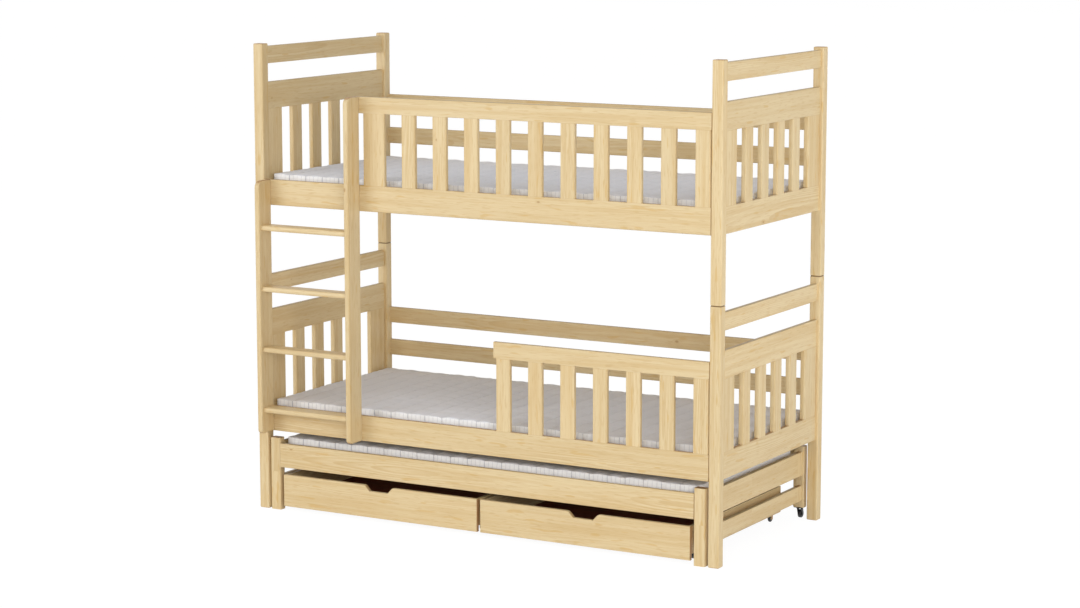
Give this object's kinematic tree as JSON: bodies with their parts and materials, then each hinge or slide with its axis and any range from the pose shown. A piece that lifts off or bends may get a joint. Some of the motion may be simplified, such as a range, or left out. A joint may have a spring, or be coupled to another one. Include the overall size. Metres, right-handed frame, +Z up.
{
  "type": "bunk bed with trundle",
  "caption": "Pine bunk bed with slatted guards, a side ladder, a pull-out trundle bed on casters and rolling drawers under it.",
  "frame": {"origin": "on the floor, in the middle of the overall footprint, ladder included", "axes": "+Z up, +X along the bed towards the end away from the ladder, -Y towards the side with the ladder and drawers"},
  "size_m": [1.98, 0.975, 1.8],
  "materials": {
    "pine": "lacquered natural pine, satin",
    "slat_pine": "raw pine, matt",
    "ticking": "white quilted cover",
    "hardboard": "smooth brown hardboard",
    "black_steel": "black, semi-gloss",
    "black_plastic": "black, satin"
  },
  "bodies": {
    "bed": {"lower_post_front_left": "pine", "lower_post_front_right": "pine", "lower_post_back_left": "pine", "lower_post_back_right": "pine", "upper_post_front_left": "pine", "upper_post_front_right": "pine", "upper_post_back_left": "pine", "upper_post_back_right": "pine", "lower_end_panel_left": "pine", "lower_end_panel_right": "pine", "lower_end_rail_left": "pine", "lower_end_rail_right": "pine", "lower_front_side": "pine", "lower_back_rail": "pine", "lower_back_board_1": "pine", "lower_back_board_2": "pine", "lower_slat_base": "slat_pine", "lower_mattress": "ticking", "upper_end_panel_left": "pine", "upper_end_panel_right": "pine", "upper_end_rail_left": "pine", "upper_end_rail_right": "pine", "upper_front_side": "pine", "upper_back_rail": "pine", "upper_back_board_1": "pine", "upper_back_board_2": "pine", "upper_slat_base": "slat_pine", "upper_mattress": "ticking", "ladder_stile_left": "pine", "ladder_stile_right": "pine", "ladder_rung_1": "pine", "ladder_rung_2": "pine", "ladder_rung_3": "pine", "ladder_rung_4": "pine"},
    "trundle": {"trundle_end_left": "pine", "trundle_end_right": "pine", "trundle_front_board": "pine", "trundle_back_board": "pine", "trundle_slat_base": "slat_pine", "trundle_mattress": "ticking"},
    "caster_left": {"trundle_caster_fork_left": "black_steel"},
    "caster_right": {"trundle_caster_fork_right": "black_steel"},
    "caster_wheel_left": {"trundle_caster_wheel_left": "black_plastic"},
    "caster_wheel_right": {"trundle_caster_wheel_right": "black_plastic"},
    "drawer_left": {"drawer_left_front": "pine", "drawer_left_box": "pine", "drawer_left_bottom": "hardboard"},
    "drawer_right": {"drawer_right_front": "pine", "drawer_right_box": "pine", "drawer_right_bottom": "hardboard"},
    "drawer_left_wheel_front_left": {"drawer_left_wheel_front_left": "black_plastic"},
    "drawer_left_wheel_front_right": {"drawer_left_wheel_front_right": "black_plastic"},
    "drawer_left_wheel_back_left": {"drawer_left_wheel_back_left": "black_plastic"},
    "drawer_left_wheel_back_right": {"drawer_left_wheel_back_right": "black_plastic"},
    "drawer_right_wheel_front_left": {"drawer_right_wheel_front_left": "black_plastic"},
    "drawer_right_wheel_front_right": {"drawer_right_wheel_front_right": "black_plastic"},
    "drawer_right_wheel_back_left": {"drawer_right_wheel_back_left": "black_plastic"},
    "drawer_right_wheel_back_right": {"drawer_right_wheel_back_right": "black_plastic"}
  },
  "joints": [
    {"name": "trundle_slide", "type": "slide", "parent": "bed", "child": "trundle", "axis": [0, -1, 0], "range_m": [0, 0.85]},
    {"name": "drawer_left_slide", "type": "slide", "parent": "trundle", "child": "drawer_left", "axis": [0, -1, 0], "range_m": [0, 0.7]},
    {"name": "drawer_right_slide", "type": "slide", "parent": "trundle", "child": "drawer_right", "axis": [0, -1, 0], "range_m": [0, 0.7]},
    {"name": "caster_left_swivel", "type": "hinge", "parent": "trundle", "child": "caster_left", "pos_m": [-0.9135, 0.46, 0.042], "axis": [0, 0, 1], "continuous": true},
    {"name": "caster_right_swivel", "type": "hinge", "parent": "trundle", "child": "caster_right", "pos_m": [0.9135, 0.46, 0.042], "axis": [0, 0, 1], "continuous": true},
    {"name": "caster_wheel_left_spin", "type": "hinge", "parent": "caster_left", "child": "caster_wheel_left", "pos_m": [-0.9135, 0.47, 0.016], "axis": [1, 0, 0], "continuous": true},
    {"name": "caster_wheel_right_spin", "type": "hinge", "parent": "caster_right", "child": "caster_wheel_right", "pos_m": [0.9135, 0.47, 0.016], "axis": [1, 0, 0], "continuous": true},
    {"name": "drawer_left_wheel_front_left_spin", "type": "hinge", "parent": "drawer_left", "child": "drawer_left_wheel_front_left", "pos_m": [-0.844, -0.31, 0.015], "axis": [1, 0, 0], "continuous": true},
    {"name": "drawer_left_wheel_front_right_spin", "type": "hinge", "parent": "drawer_left", "child": "drawer_left_wheel_front_right", "pos_m": [-0.04, -0.31, 0.015], "axis": [1, 0, 0], "continuous": true},
    {"name": "drawer_left_wheel_back_left_spin", "type": "hinge", "parent": "drawer_left", "child": "drawer_left_wheel_back_left", "pos_m": [-0.844, 0.344, 0.015], "axis": [1, 0, 0], "continuous": true},
    {"name": "drawer_left_wheel_back_right_spin", "type": "hinge", "parent": "drawer_left", "child": "drawer_left_wheel_back_right", "pos_m": [-0.04, 0.344, 0.015], "axis": [1, 0, 0], "continuous": true},
    {"name": "drawer_right_wheel_front_left_spin", "type": "hinge", "parent": "drawer_right", "child": "drawer_right_wheel_front_left", "pos_m": [0.04, -0.31, 0.015], "axis": [1, 0, 0], "continuous": true},
    {"name": "drawer_right_wheel_front_right_spin", "type": "hinge", "parent": "drawer_right", "child": "drawer_right_wheel_front_right", "pos_m": [0.844, -0.31, 0.015], "axis": [1, 0, 0], "continuous": true},
    {"name": "drawer_right_wheel_back_left_spin", "type": "hinge", "parent": "drawer_right", "child": "drawer_right_wheel_back_left", "pos_m": [0.04, 0.344, 0.015], "axis": [1, 0, 0], "continuous": true},
    {"name": "drawer_right_wheel_back_right_spin", "type": "hinge", "parent": "drawer_right", "child": "drawer_right_wheel_back_right", "pos_m": [0.844, 0.344, 0.015], "axis": [1, 0, 0], "continuous": true}
  ]
}
